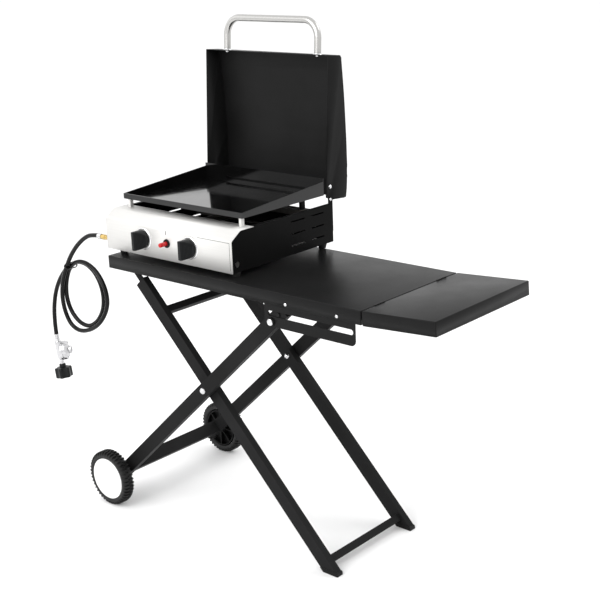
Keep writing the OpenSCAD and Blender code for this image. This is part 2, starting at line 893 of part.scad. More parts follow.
module bend(x, z, turn) {
    translate([x, 0, z]) rotate([90, turn, 0]) rotate_extrude(angle = 90)
        translate([handle_bend, 0]) circle(d = handle_d);
}

// The two places where the handle stands on the lid's sloping top
module handle_feet() {
    slope = atan((lid_top - lid_back[len(lid_back) - 1].y) / (lid_back[len(lid_back) - 1].x - lid_rim));
    for (side = [-1, 1]) translate([body_mid + side * handle_w / 2, 12, lid_top - 2])
        rotate([-slope, 0, 0]) children();
}

module lid_handle() {
    top = 354.5 + handle_reach;
    half = handle_w / 2;
    foot = lid_top - 0.8;
    color("#bdbdba") place() lid_frame() {
        handle_feet() {
            cylinder(d = 27, h = 2.5);
            translate([0, 0, -sheet - 4]) cylinder(d = 11, h = 4);
            translate([0, 0, -sheet - 0.5]) cylinder(d = 5, h = 3);
        }
        translate([body_mid, 12, 0]) {
            for (side = [-1, 1]) translate([side * half, 0, foot])
                cylinder(d = handle_d, h = top - handle_bend - foot);
            rod_x(-half + handle_bend, half - handle_bend, 0, top, handle_d);
            bend(half - handle_bend, top - handle_bend, 0);
            bend(-half + handle_bend, top - handle_bend, -90);
        }
    }
}

// ---- Gas line ----

module gas_fitting() {
    y = manifold_y;
    z = manifold_z;
    color("#c9a24a") place() {
        rod_x(fitting_x[1], fitting_x[0], y, z, 11);
        translate([-72, y, z]) rotate([0, 90, 0]) cylinder(d = 16, h = 14, $fn = 6);
        rod_x(fitting_x[1], fitting_x[1] + 16, y, z, 14);
    }
    color("silver") place() rod_x(fitting_x[2], fitting_x[1], y, z, 16);
}

// Points of the hose at even steps of a smooth line through the route
function catmull(a, b, c, d, t) = 0.5 * (2 * b + (c - a) * t + (2 * a - 5 * b + 4 * c - d) * t * t
    + (3 * b - a - 3 * c + d) * t * t * t);
function route_at(i) = route[min(max(i, 0), len(route) - 1)];
hose_line = concat([for (i = [0 : len(route) - 2], t = [0, 0.5])
    catmull(route_at(i - 1), route_at(i), route_at(i + 1), route_at(i + 2), t)],
    [route[len(route) - 1]]);

module hose() {
    n = len(hose_line);
    ring = [for (i = [0 : n - 1])
        let (p = hose_line[i],
            d = unit(hose_line[min(i + 1, n - 1)] - hose_line[max(i - 1, 0)]),
            u = unit(cross(d, [0, 1, 0])),
            v = cross(u, d))
        for (k = [0 : hose_sides - 1])
            let (a = 360 * k / hose_sides) p + hose_d / 2 * (cos(a) * u + sin(a) * v)];
    sides = [for (i = [0 : n - 2], k = [0 : hose_sides - 1])
        let (a = i * hose_sides + k, b = i * hose_sides + (k + 1) % hose_sides)
        [a, a + hose_sides, b + hose_sides, b]];
    ends = [[for (k = [0 : hose_sides - 1]) k],
        [for (k = [hose_sides - 1 : -1 : 0]) (n - 1) * hose_sides + k]];
    color("#161616") place() polyhedron(ring, concat(sides, ends));
}

// Strap round the strands where the coil hangs
module hose_tie() {
    color("#0c0c0c") place() translate([-251, 59.5, 669]) rotate([0, 46, 0]) difference() {
        box([-11, -21.5, -4], [11, 21.5, 4]);
        box([-9.7, -20.2, -5], [9.7, 20.2, 5]);
    }
}

module hose_end() {
    translate(route[len(route) - 1]) rotate([0, hose_tilt, 0]) children();
}

module regulator() {
    color("#bfc0c0") place() hose_end() {
        translate([0, 0, -22]) cylinder(d = 14, h = 22);
        translate([0, 0, -80]) cylinder(d = 20, h = 60);
        translate([0, 0, -98]) cylinder(d = 13, h = 20);
        translate([0, 0, -54]) rotate([0, 0, 40]) rotate([0, 90, 0]) {
            translate([0, 0, 5]) cylinder(d = 60, h = 20);
            translate([0, 0, 25]) cylinder(d1 = 54, d2 = 30, h = 5);
            translate([0, 0, 30]) cylinder(d = 24, h = 8);
        }
    }
}

module regulator_handwheel() {
    lobes = 6;
    color("#0f0f0f") place() hose_end() translate([0, 0, -139]) difference() {
        union() {
            cylinder(d = 44, h = 33);
            for (i = [0 : lobes - 1]) rotate(360 * i / lobes) translate([16.5, 0, 0])
                cylinder(d = 20, h = 33);
            translate([0, 0, 33]) cylinder(d = 20, h = 11);
        }
        translate([0, 0, 40.5]) cylinder(d = 14, h = 10);
        translate([0, 0, -1]) cylinder(d = 36, h = 30);
    }
}

table_top();
slide_bracket_front();
slide_bracket_rear();
bracket_rivets();
leg_hinge_brackets();
leg_hinge_pins();
lock_pin_front();
lock_pin_rear();
side_shelf();
table_hinge_leaves();
shelf_hinge_leaves();
shelf_hinge_pins();
shelf_stops();
foot_leg_front();
foot_leg_rear();
foot_leg_pivot_bars();
foot_frame_bars();
foot_caps();
crossing_bolts();
wheel_leg_front();
wheel_leg_rear();
axle_crossmember();
leg_end_plugs();
slide_pins();
axle();
axle_sleeves();
tyre_front();
tyre_rear();
hub_front();
hub_rear();
hub_cap_front();
hub_cap_rear();
front_panel();
side_panels();
back_panel();
bottom_pan();
rubber_feet();
gas_manifold();
valves();
burners();
support_rails();
knob_bezels();
spindle_left();
spindle_right();
knob_left();
knob_right();
igniter_body();
igniter_button();
grease_drawer();
griddle_plate();
plate_posts();
lid_brackets();
lid_bolts();
lid();
lid_handle();
gas_fitting();
hose();
hose_tie();
regulator();
regulator_handwheel();
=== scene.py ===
"""Looks for the flat top griddle on its folding cart.

Metres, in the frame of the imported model. Places measured from the table's front left
corner at floor level, in millimetres, go through at()."""

import json
import math

import bmesh
import bpy
from mathutils import Matrix, Vector


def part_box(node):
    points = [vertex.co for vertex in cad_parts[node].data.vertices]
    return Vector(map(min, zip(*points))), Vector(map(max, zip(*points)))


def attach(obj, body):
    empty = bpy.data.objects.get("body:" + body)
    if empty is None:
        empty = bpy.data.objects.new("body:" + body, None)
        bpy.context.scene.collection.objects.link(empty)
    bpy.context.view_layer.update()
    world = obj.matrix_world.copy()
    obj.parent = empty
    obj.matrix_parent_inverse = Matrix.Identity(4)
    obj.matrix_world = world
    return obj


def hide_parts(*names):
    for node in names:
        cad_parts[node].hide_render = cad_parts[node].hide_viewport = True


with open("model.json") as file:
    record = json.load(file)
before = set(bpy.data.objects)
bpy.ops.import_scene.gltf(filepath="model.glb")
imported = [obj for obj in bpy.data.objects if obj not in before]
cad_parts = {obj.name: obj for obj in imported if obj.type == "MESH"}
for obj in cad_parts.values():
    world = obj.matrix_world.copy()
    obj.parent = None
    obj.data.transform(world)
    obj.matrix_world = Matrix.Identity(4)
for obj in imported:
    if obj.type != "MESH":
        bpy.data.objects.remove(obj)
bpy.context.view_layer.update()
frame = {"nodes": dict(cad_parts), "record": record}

MM = 0.001
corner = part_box("table_top")[0]
origin = Vector((corner.x, corner.y, 0.0))


def at(x, y, z):
    """A point given in millimetres from the table's front left corner at floor level."""
    return origin + Vector((x, y, z)) * MM


# ---- Camera ----

CAMERA_AZIMUTH = math.radians(41.87)
CAMERA_ELEVATION = math.radians(17.13)
CAMERA_ROLL = math.radians(-2.21)


def make_camera():
    data = bpy.data.cameras.new("camera")
    data.lens = 73.52
    data.sensor_width = 36.0
    camera = bpy.data.objects.new("camera", data)
    bpy.context.scene.collection.objects.link(camera)
    az, el, roll = CAMERA_AZIMUTH, CAMERA_ELEVATION, CAMERA_ROLL
    back = Vector((math.sin(az) * math.cos(el), -math.cos(az) * math.cos(el), math.sin(el)))
    right = Vector((math.cos(az), math.sin(az), 0.0))
    up = back.cross(right)
    rolled_right = math.cos(roll) * right + math.sin(roll) * up
    rolled_up = -math.sin(roll) * right + math.cos(roll) * up
    turn = Matrix((rolled_right, rolled_up, back)).transposed()
    camera.matrix_world = Matrix.Translation(at(2605.8, -2111.8, 1620.5)) @ turn.to_4x4()
    bpy.context.scene.camera = camera


make_camera()


# ---- Materials ----

class Nodes:
    """A small helper that builds one principled material."""

    def __init__(self, name, color, roughness, metallic=0.0, **sockets):
        self.material = bpy.data.materials.new(name)
        self.material.use_nodes = True
        self.tree = self.material.node_tree
        self.shader = self.tree.nodes["Principled BSDF"]
        self.shader.inputs["Base Color"].default_value = (*color, 1.0)
        self.shader.inputs["Roughness"].default_value = roughness
        self.shader.inputs["Metallic"].default_value = metallic
        for socket, value in sockets.items():
            self.shader.inputs[socket.replace("_", " ")].default_value = value
        self.coords = self.tree.nodes.new("ShaderNodeTexCoord")

    def noise(self, scale, detail=3.0, stretch=(1.0, 1.0, 1.0)):
        mapping = self.tree.nodes.new("ShaderNodeMapping")
        mapping.inputs["Scale"].default_value = stretch
        texture = self.tree.nodes.new("ShaderNodeTexNoise")
        texture.inputs["Scale"].default_value = scale
        texture.inputs["Detail"].default_value = detail
        self.tree.links.new(self.coords.outputs["Object"], mapping.inputs["Vector"])
        self.tree.links.new(mapping.outputs["Vector"], texture.inputs["Vector"])
        return texture.outputs["Fac"]

    def spread(self, value, low, high):
        """Spreads the middle of a 0 to 1 value over low to high."""
        node = self.tree.nodes.new("ShaderNodeMapRange")
        node.inputs["From Min"].default_value = 0.3
        node.inputs["From Max"].default_value = 0.7
        node.inputs["To Min"].default_value = low
        node.inputs["To Max"].default_value = high
        self.tree.links.new(value, node.inputs["Value"])
        return node.outputs["Result"]

    def roughness(self, value, low, high):
        self.tree.links.new(self.spread(value, low, high), self.shader.inputs["Roughness"])

    def tint(self, value, dark, light):
        ramp = self.tree.nodes.new("ShaderNodeValToRGB")
        ramp.color_ramp.elements[0].position = 0.3
        ramp.color_ramp.elements[0].color = (*dark, 1.0)
        ramp.color_ramp.elements[1].position = 0.7
        ramp.color_ramp.elements[1].color = (*light, 1.0)
        self.tree.links.new(value, ramp.inputs["Fac"])
        self.tree.links.new(ramp.outputs["Color"], self.shader.inputs["Base Color"])

    def bump(self, value, strength, depth):
        node = self.tree.nodes.new("ShaderNodeBump")
        node.inputs["Strength"].default_value = strength
        node.inputs["Distance"].default_value = depth
        self.tree.links.new(value, node.inputs["Height"])
        self.tree.links.new(node.outputs["Normal"], self.shader.inputs["Normal"])


def grey(value, blue=0.0):
    return (value, value, value * (1.0 + blue))


def powder_coat(name, tone, low, high, depth, shine=0.25):
    """Baked powder paint: a fine orange-peel grain, with slow changes of gloss."""
    m = Nodes(name, grey(tone), low, Specular_IOR_Level=shine)
    m.tint(m.noise(6.0), grey(tone * 0.85), grey(tone * 1.2, 0.02))
    m.roughness(m.noise(14.0, 5.0), low, high)
    m.bump(m.noise(1100.0, 2.0), 0.35, depth)
    return m.material


def moulded(name, color, low, high, depth=0.00015, shine=0.35):
    """Dull plastic, rubber or dulled metal, with a fine matte grain."""
    m = Nodes(name, color, low, Specular_IOR_Level=shine)
    m.tint(m.noise(30.0), tuple(c * 0.85 for c in color), tuple(min(1.0, c * 1.15) for c in color))
    m.roughness(m.noise(60.0, 4.0), low, high)
    m.bump(m.noise(1600.0, 2.0), 0.3, depth)
    return m.material


def brushed(name, tone, low, high, stretch, metallic=1.0):
    """Brushed stainless steel: long fine scratches along one direction.

    A metallic value under 1 lightens a sheet that would otherwise mirror the black table."""
    warm = (tone, tone * 0.99, tone * 0.965)
    m = Nodes(name, warm, low, metallic=metallic)
    grain = m.noise(900.0, 4.0, stretch)
    m.tint(m.noise(420.0, 3.0, stretch), tuple(c * 0.96 for c in warm), warm)
    m.roughness(grain, low, high)
    m.bump(grain, 0.10, 0.00006)
    return m.material


def plated(name, color, low, high):
    """Bright plated or cast metal with faint clouding."""
    m = Nodes(name, color, low, metallic=1.0)
    m.tint(m.noise(45.0, 4.0), tuple(c * 0.88 for c in color), color)
    m.roughness(m.noise(90.0, 5.0), low, high)
    m.bump(m.noise(700.0, 2.0), 0.12, 0.00008)
    return m.material


def enamel(name):
    """Glossy black enamel of the cooking plate, with slow waves in the gloss."""
    m = Nodes(name, grey(0.003), 0.1, Specular_IOR_Level=0.25, Coat_Weight=0.35, Coat_Roughness=0.05)
    m.tint(m.noise(9.0, 3.0), grey(0.002), grey(0.004, 0.05))
    m.roughness(m.noise(20.0, 4.0), 0.07, 0.16)
    m.bump(m.noise(260.0, 2.0), 0.08, 0.0001)
    return m.material


SLOT_MATERIALS = {
    "table_coat": powder_coat("table_coat", 0.008, 0.28, 0.34, 0.00015, 0.08),
    "leg_coat": powder_coat("leg_coat", 0.013, 0.36, 0.46, 0.00014, 0.03),
    "body_coat": powder_coat("body_coat", 0.0035, 0.40, 0.50, 0.00012, 0.05),
    "lid_coat": powder_coat("lid_coat", 0.0075, 0.38, 0.48, 0.00015, 0.12),
    "black_enamel": enamel("black_enamel"),
    "brushed_panel": brushed("brushed_panel", 0.74, 0.44, 0.54, (0.02, 1.0, 1.0), 0.35),
    "handle_steel": brushed("handle_steel", 0.50, 0.20, 0.32, (1.0, 1.0, 0.35)),
    "galvanised": moulded("galvanised", (0.05, 0.048, 0.044), 0.45, 0.58, 0.0001, 0.2),
    "zinc": plated("zinc", (0.72, 0.72, 0.73), 0.14, 0.26),
    "chrome": plated("chrome", (0.84, 0.84, 0.85), 0.05, 0.10),
    "die_cast": plated("die_cast", (0.62, 0.62, 0.63), 0.20, 0.34),
    "brass": plated("brass", (0.66, 0.47, 0.17), 0.16, 0.28),
    "tyre": moulded("tyre", (0.006, 0.006, 0.006), 0.42, 0.56, 0.00015, 0.3),
    "black_plastic": moulded("black_plastic", (0.005, 0.005, 0.005), 0.40, 0.52, 0.00015, 0.15),
    "knob_plastic": moulded("knob_plastic", (0.005, 0.0056, 0.006), 0.30, 0.42, 0.00015, 0.2),
    "white_plastic": moulded("white_plastic", (0.88, 0.88, 0.87), 0.26, 0.36, 0.00006, 0.5),
    "red_plastic": moulded("red_plastic", (0.46, 0.008, 0.010), 0.22, 0.32, 0.00005, 0.4),
    "rubber": moulded("rubber", (0.008, 0.008, 0.008), 0.60, 0.75),
    "hose_rubber": moulded("hose_rubber", (0.003, 0.003, 0.003), 0.16, 0.24, 0.00006, 0.18),
}
node_slot = {row["node"]: row["material_slot"] for row in frame["record"]["subparts"]}


# ---- Mesh helpers ----

def new_piece(name, mesh, slot_name, body, *replaced):
    """Links a mesh or curve as a piece with its material, body and the CAD nodes it stands for."""
    piece = bpy.data.objects.new(name, mesh)
    bpy.context.scene.collection.objects.link(piece)
    mesh.materials.append(SLOT_MATERIALS[slot_name])
    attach(piece, body)
    if replaced:
        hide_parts(*replaced)
    return piece


def mesh_of(name, bm):
    bmesh.ops.recalc_face_normals(bm, faces=bm.faces)
    mesh = bpy.data.meshes.new(name)
    bm.to_mesh(mesh)
    bm.free()
    shade(mesh)
    return mesh


def shade(mesh, angle=32.0):
    """Smooth shading that keeps edges sharper than the angle."""
    for polygon in mesh.polygons:
        polygon.use_smooth = True
    mesh.set_sharp_from_angle(angle=math.radians(angle))


def rounded(points, radius, steps=4, closed=False):
    """A line of points in a plane with its corners turned into small arcs."""
    result = []
    count = len(points)
    for i, point in enumerate(points):
        if not closed and i in (0, count - 1):
            result.append(tuple(point))
            continue
        here = Vector(point)
        before = Vector(points[i - 1]) - here
        after = Vector(points[(i + 1) % count]) - here
        reach = min(radius, before.length * 0.45, after.length * 0.45)
        start = here + before.normalized() * reach
        end = here + after.normalized() * reach
        for k in range(steps + 1):
            t = k / steps
            p = start * (1 - t) ** 2 + here * 2 * t * (1 - t) + end * t * t
            result.append((p.x, p.y))
    return result


def lathe(bm, profile, place, segments=64):
    """Turns a closed profile of (radius, height) about the local Z axis."""
    rings = []
    for radius, height in profile:
        if radius < 1e-6:
            rings.append([bm.verts.new(place @ Vector((0, 0, height * MM)))])
            continue
        rings.append([
            bm.verts.new(place @ Vector((
                radius * MM * math.cos(2 * math.pi * k / segments),
                radius * MM * math.sin(2 * math.pi * k / segments),
                height * MM,
            )))
            for k in range(segments)
        ])
    for one, two in zip(rings, rings[1:]):
        for k in range(segments):
            n = (k + 1) % segments
            if len(one) == 1 and len(two) == 1:
                continue
            if len(one) == 1:
                bm.faces.new((one[0], two[k], two[n]))
            elif len(two) == 1:
                bm.faces.new((one[k], one[n], two[0]))
            else:
                bm.faces.new((one[k], one[n], two[n], two[k]))
    if len(rings[0]) > 1 and len(rings[-1]) > 1 and profile[0] != profile[-1]:
        bm.faces.new(rings[0])
        bm.faces.new(list(reversed(rings[-1])))


def prism(bm, outline, place, height, inset=0.0):
    """Carries a closed outline in millimetres along local Z, with a small inset at both ends."""
    middle = Vector((sum(p[0] for p in outline), sum(p[1] for p in outline))) / len(outline)
    levels = [(0.0, inset), (inset, 0.0), (height - inset, 0.0), (height, inset)] if inset else [
        (0.0, 0.0), (height, 0.0)]
    rings = []
    for z, shrink in levels:
        ring = []
        for p in outline:
            offset = Vector(p) - middle
            scale = max(0.0, 1.0 - shrink / max(offset.length, 1e-6))
            q = middle + offset * scale
            ring.append(bm.verts.new(place @ Vector((q.x * MM, q.y * MM, z * MM))))
        rings.append(ring)
    count = len(outline)
    for one, two in zip(rings, rings[1:]):
        for k in range(count):
            n = (k + 1) % count
            bm.faces.new((one[k], one[n], two[n], two[k]))
    bm.faces.new(list(reversed(rings[0])))
    bm.faces.new(rings[-1])


def frame_along(point, direction, up=(0, 0, 1)):
    """A place whose local Z runs along the direction."""
    z = Vector(direction).normalized()
    hint = Vector(up)
    if abs(z.dot(hint)) > 0.95:
        hint = Vector((1, 0, 0))
    x = hint.cross(z).normalized()
    y = z.cross(x)
    return Matrix.Translation(point) @ Matrix((x, y, z)).transposed().to_4x4()


def face_outwards(mesh, centre):
    """Turns every face of an open shell away from a point inside it."""
    bm = bmesh.new()
    bm.from_mesh(mesh)
    for face in bm.faces:
        if face.normal.dot(face.calc_center_median() - centre) < 0:
            face.normal_flip()
    bm.to_mesh(mesh)
    bm.free()


def thicken(piece, thickness, even=False):
    modifier = piece.modifiers.new("sheet", "SOLIDIFY")
    modifier.thickness = thickness * MM
    modifier.offset = -1.0
    modifier.use_even_offset = even


# ---- Gas hose ----

HOSE_DIAMETER = 13.0
HOSE_ROUTE = [
    (-92, 45, 787), (-130, 45, 781), (-158, 45, 768), (-187, 45, 747),
    (-212, 45, 723), (-233, 46, 699), (-251, 46, 672), (-269, 46, 640),
    (-284, 47, 602), (-290, 48, 561), (-283, 49, 521), (-263, 50, 488),
    (-229, 51, 474), (-186, 52, 481), (-141, 53, 505), (-107, 54, 541),
    (-90, 55, 579), (-93, 56, 616), (-111, 57, 649), (-140, 58, 675),
    (-178, 58, 689), (-217, 58, 686), (-251, 59, 665), (-273, 60, 631),
    (-285, 61, 591), (-284, 62, 553), (-268, 63, 519), (-236, 64, 494),
    (-195, 65, 490), (-155, 66, 513), (-128, 67, 551), (-121, 68, 592),
    (-131, 69, 630), (-156, 70, 662), (-193, 71, 680), (-237, 72, 679),
    (-283, 73, 656), (-325, 74, 616), (-356, 75, 567), (-372, 75, 516),
    (-377, 75, 468), (-376, 75, 425),
]


def smooth_line(points, steps):
    """Points of a smooth line through the route."""
    line = []
    last = len(points) - 1
    for i in range(last):
        a, b, c, d = (Vector(points[min(max(k, 0), last)]) for k in (i - 1, i, i + 1, i + 2))
        for k in range(steps):
            t = k / steps
            line.append(0.5 * (2 * b + (c - a) * t + (2 * a - 5 * b + 4 * c - d) * t * t
                               + (3 * b - a - 3 * c + d) * t ** 3))
    line.append(Vector(points[last]))
    return line


def make_hose():
    line = [at(*p) for p in smooth_line(HOSE_ROUTE, 6)]
    curve = bpy.data.curves.new("hose_line", "CURVE")
    curve.dimensions = "3D"
    curve.bevel_depth = HOSE_DIAMETER / 2 * MM
    curve.bevel_resolution = 6
    curve.use_fill_caps = True
    spline = curve.splines.new("POLY")
    spline.points.add(len(line) - 1)
    for point, place in zip(spline.points, line):
        point.co = (*place, 1.0)
    spline.use_smooth = True
    return new_piece("gas_hose", curve, "hose_rubber", "cart", "hose"), line


hose, hose_line = make_hose()


# ---- Regulator and its handwheel, on the hose's end ----

HOSE_END_TILT = math.radians(-9.0)
hose_end = Matrix.Translation(at(*HOSE_ROUTE[-1])) @ Matrix.Rotation(HOSE_END_TILT, 4, "Y")


def make_regulator():
    bm = bmesh.new()
    lathe(bm, [(0, 0), (6.4, 0), (7, -0.8), (7, -5), (6.2, -6), (7, -7), (7, -12), (6.2, -13), (7, -14),
               (7, -19), (9, -21), (10, -24), (10, -74), (9, -78), (6.5, -80), (6.5, -98), (0, -98)],
          hose_end, 48)
    drum = (hose_end @ Matrix.Translation((0, 0, -54 * MM)) @ Matrix.Rotation(math.radians(40), 4, "Z")
            @ Matrix.Rotation(math.pi / 2, 4, "Y"))
    lathe(bm, [(0, 5), (24, 5), (27, 6), (29.8, 8), (29.8, 13), (28.2, 14), (28.2, 15), (29.8, 16),
               (29.8, 21), (29, 24), (27, 25), (21, 26.6), (15, 30), (12, 30.6), (12, 37), (11, 38),
               (7.5, 38), (6.8, 34.5), (0, 34.5)], drum, 64)
    for k in range(6):
        turn = Matrix.Rotation(math.radians(30 + 60 * k), 4, "Z")
        lathe(bm, [(0, 24.0), (2.6, 24.0), (2.6, 26.6), (2.0, 27.4), (0, 27.4)],
              drum @ turn @ Matrix.Translation((24.6 * MM, 0, 0)), 12)
    return new_piece("gas_regulator", mesh_of("gas_regulator", bm), "die_cast", "cart", "regulator")


def make_handwheel():
    """Six rounded lobes, softened at both ends, round an open socket."""
    low = hose_end @ Matrix.Translation((0, 0, -139 * MM))
    outline = []
    for k in range(96):
        a = 2 * math.pi * k / 96
        radius = 24.2 + 2.3 * math.cos(6 * a) + 0.4 * math.cos(12 * a)
        outline.append((math.cos(a), math.sin(a), min(26.5, radius)))
    rings = []
    bm = bmesh.new()
    levels = [(29, 18, True), (1, 18, True), (0, 19, True), (0, -3.4, False), (0.9, -1.4, False),
              (3.6, 0, False), (29.4, 0, False), (32.2, -1.6, False), (33, -4.6, False)]
    for height, value, fixed in levels:
        rings.append([
            bm.verts.new(low @ Vector((c * (value if fixed else r + value) * MM,
                                       n * (value if fixed else r + value) * MM, height * MM)))
            for c, n, r in outline])
    for one, two in zip(rings, rings[1:]):
        for k in range(96):
            after = (k + 1) % 96
            bm.faces.new((one[k], one[after], two[after], two[k]))
    bm.faces.new(rings[0])
    bm.faces.new(rings[-1])
    lathe(bm, [(10, 32.8), (10, 42), (9, 44), (7.2, 44), (7.2, 41), (0, 41)], low, 48)
    return new_piece("gas_handwheel", mesh_of("gas_handwheel", bm), "knob_plastic",
                     "regulator_handwheel", "regulator_handwheel")


def make_tie():
    """Flat strap round the three strands."""
    bm = bmesh.new()
    place = Matrix.Translation(at(-251, 59.5, 669)) @ Matrix.Rotation(math.radians(46), 4, "Y")
    outline = rounded([(-9.2, -21.4), (9.2, -21.4), (9.2, 21.4), (-9.2, 21.4)], 7, 6, closed=True)
    rings = []
    for z, grow in ((-3.9, -0.3), (-3.4, 0.0), (3.4, 0.0), (3.9, -0.3), (3.4, -1.2), (-3.4, -1.2)):
        ring = []
        for x, y in outline:
            scale = 1.0 + grow / math.hypot(x, y)
            ring.append(bm.verts.new(place @ Vector((x * scale * MM, y * scale * MM, z * MM))))
        rings.append(ring)
    count = len(outline)
    for one, two in zip(rings, rings[1:] + rings[:1]):
        for k in range(count):
            n = (k + 1) % count
            bm.faces.new((one[k], one[n], two[n], two[k]))
    return new_piece("hose_strap", mesh_of("hose_strap", bm), "black_plastic", "cart", "hose_tie")


def make_fitting():
    """Brass inlet with its nut, and the ribbed steel crimp on the hose."""
    start = frame_along(at(-18, 45, 786), (-1, 0, 0))
    bm = bmesh.new()
    hexagon = [(8 * math.cos(math.radians(60 * k)), 8 * math.sin(math.radians(60 * k)))
               for k in range(6)]
    prism(bm, rounded(hexagon, 0.8, 2, closed=True), start @ Matrix.Translation((0, 0, 40 * MM)),
          14.0, 0.8)
    lathe(bm, [(0, 0), (5.5, 0), (5.5, 32), (6.4, 33), (6.4, 39), (5.5, 40), (5.5, 54), (6.4, 55),
               (6.4, 58), (0, 58)], start, 40)
    brass = new_piece("gas_inlet", mesh_of("gas_inlet", bm), "brass", "cart", "gas_fitting")
    bm = bmesh.new()
    crimp_place = start @ Matrix.Translation((0, 0, 57.5 * MM))
    lathe(bm, [(0, 0), (7.3, 0), (7.9, 0.6), (7.9, 4), (7.3, 4.8), (7.9, 5.6), (7.9, 9), (7.3, 9.8),
               (7.9, 10.6), (7.9, 14.6), (7.2, 16), (0, 16)], crimp_place, 40)
    steel = new_piece("hose_crimp", mesh_of("hose_crimp", bm), "zinc", "cart")
    return brass, steel


regulator = make_regulator()
handwheel = make_handwheel()
tie = make_tie()
inlet, crimp = make_fitting()


# ---- Table and shelf ----

def pan(name, low, high, thickness, radius, place, slot_name, body, *replaced):
    """A shallow tray turned upside down: folded sheet with rounded folds."""
    bm = bmesh.new()
    corners = [(low[0], low[1]), (high[0], low[1]), (high[0], high[1]), (low[0], high[1])]
    top = [bm.verts.new(place @ (Vector((x, y, high[2])) * MM)) for x, y in corners]
    bottom = [bm.verts.new(place @ (Vector((x, y, low[2])) * MM)) for x, y in corners]
    bm.faces.new(top)
    for k in range(4):
        n = (k + 1) % 4
        bm.faces.new((top[k], bottom[k], bottom[n], top[n]))
    folds = [e for e in bm.edges if not e.is_boundary]
    bmesh.ops.bevel(bm, geom=folds, offset=radius * MM, segments=4, profile=0.5, affect="EDGES")
    piece = new_piece(name, mesh_of(name, bm), slot_name, body, *replaced)
    thicken(piece, thickness, even=True)
    return piece


TABLE = (900.0, 394.0, 752.0)
RIM = 35.0
SHEET = 1.5
HINGE = (901.2, 752.5)
SHELF_TILT = math.radians(3.65)
pan("table_sheet", (0, 0, TABLE[2] - RIM), TABLE, SHEET, 2.2, Matrix.Translation(origin),
    "table_coat", "cart", "table_top")
shelf_place = Matrix.Translation(at(HINGE[0], 0, HINGE[1])) @ Matrix.Rotation(-SHELF_TILT, 4, "Y")
pan("shelf_sheet", (1.2, 0, -36.5), (211.2, 394.0, -0.5), SHEET, 2.2, shelf_place,
    "table_coat", "side_shelf", "side_shelf")


# ---- Lid ----

LID_PIVOT = (434.0, 918.0)
LID_LEAN = math.radians(3.87)
LID_X = (-14.5, 451.5)
LID_BACK = [(72, -38.5), (75, 10), (71, 97), (63.5, 175), (54.3, 256), (40, 353)]
LID_RIM = -16.0
LID_TOP = 357.0


def lid_point(x, out, up):
    """A point of the lid, from how far it is behind and above the pivot."""
    turn = Matrix.Rotation(-LID_LEAN, 4, "X")
    return at(0, *LID_PIVOT) + turn @ (Vector((x, out, up)) * MM)


def lid_back_line():
    """The bowed back from the bottom corner to the top, as a smooth line."""
    return [(p.x, p.y) for p in smooth_line([(x, y, 0) for x, y in LID_BACK], 6)]


def make_lid():
    back = lid_back_line()
    corner_in = rounded([back[-2], (40.6, 356.3), (-10, LID_TOP)], 9, 6)
    line = [(64, -38.4)] + back[:-1] + corner_in[1:-1] + [(LID_RIM, LID_TOP)]
    low_front = [(33 * math.sin(math.radians(a)), -33 * math.cos(math.radians(a)))
                 for a in (-28.9, -22, -15, -8, -1, 4, 8.6)] + [(4.98, -37.6)]
    bm = bmesh.new()
    left = [bm.verts.new(lid_point(LID_X[0], *p)) for p in line]
    right = [bm.verts.new(lid_point(LID_X[1], *p)) for p in line]
    for k in range(len(line) - 1):
        bm.faces.new((left[k], left[k + 1], right[k + 1], right[k]))
    seams = []
    for x, ring in ((LID_X[0], left), (LID_X[1], right)):
        front = [bm.verts.new(lid_point(x, *p)) for p in low_front]
        bm.faces.new(ring + front)
        seams += [e for e in bm.edges if not e.is_boundary and all(v in ring for v in e.verts)]
    seams = list(dict.fromkeys(seams))
    bmesh.ops.bevel(bm, geom=seams, offset=2.4 * MM, segments=3, profile=0.5, affect="EDGES")
    piece = new_piece("lid_shell", mesh_of("lid_shell", bm), "lid_coat", "lid", "lid")
    face_outwards(piece.data, lid_point(218.5, 20, 160))
    thicken(piece, SHEET)
    return piece


make_lid()


def make_handle():
    """Bent tube with two flanges and the screws inside the lid."""
    bend, half, base, reach, out = 48.0, 172.5, 354.5, 94.0, 12.0
    middle = 218.5
    top = base + reach
    line = [(-half, base + 2.0)]
    line += [(-half + bend + bend * math.cos(math.radians(a)), top - bend + bend * math.sin(math.radians(a)))
             for a in range(180, 89, -6)]
    line += [(half - bend + bend * math.cos(math.radians(a)), top - bend + bend * math.sin(math.radians(a)))
             for a in range(90, -1, -6)]
    line += [(half, base + 2.0)]
    curve = bpy.data.curves.new("handle_tube", "CURVE")
    curve.dimensions = "3D"
    curve.bevel_depth = 10 * MM
    curve.bevel_resolution = 8
    spline = curve.splines.new("POLY")
    spline.points.add(len(line) - 1)
    for point, (x, up) in zip(spline.points, line):
        point.co = (*lid_point(middle + x, out, up), 1.0)
    spline.use_smooth = True
    new_piece("handle_tube", curve, "handle_steel", "lid", "lid_handle")
    bm = bmesh.new()
    axis = lid_point(0, 4, 56) - lid_point(0, 0, 0)
    for side in (-1, 1):
        place = frame_along(lid_point(middle + side * half, out, 355.0), axis)
        lathe(bm, [(9.8, 0), (13.4, 0), (13.5, 1.4), (12.6, 2.6), (10.6, 3.2), (10.1, 4.6), (9.8, 4.6)],
              place, 48)
        lathe(bm, [(0, -5.4), (4.4, -5.4), (5.3, -4.2), (5.5, -1.5), (0, -1.5)], place, 24)
    new_piece("handle_flanges", mesh_of("handle_flanges", bm), "zinc", "lid")


make_handle()


# ---- Wheels ----

WHEEL_R = 82.2
HUB_R = 61.5  # 3.5 more than the modelled disc, to match the photograph
WHEEL_IN = 19.0
WHEEL_OUT = 55.0
TREAD_BLOCKS = 44
TREAD_DEPTH = 5.0
axle_x = -23.34


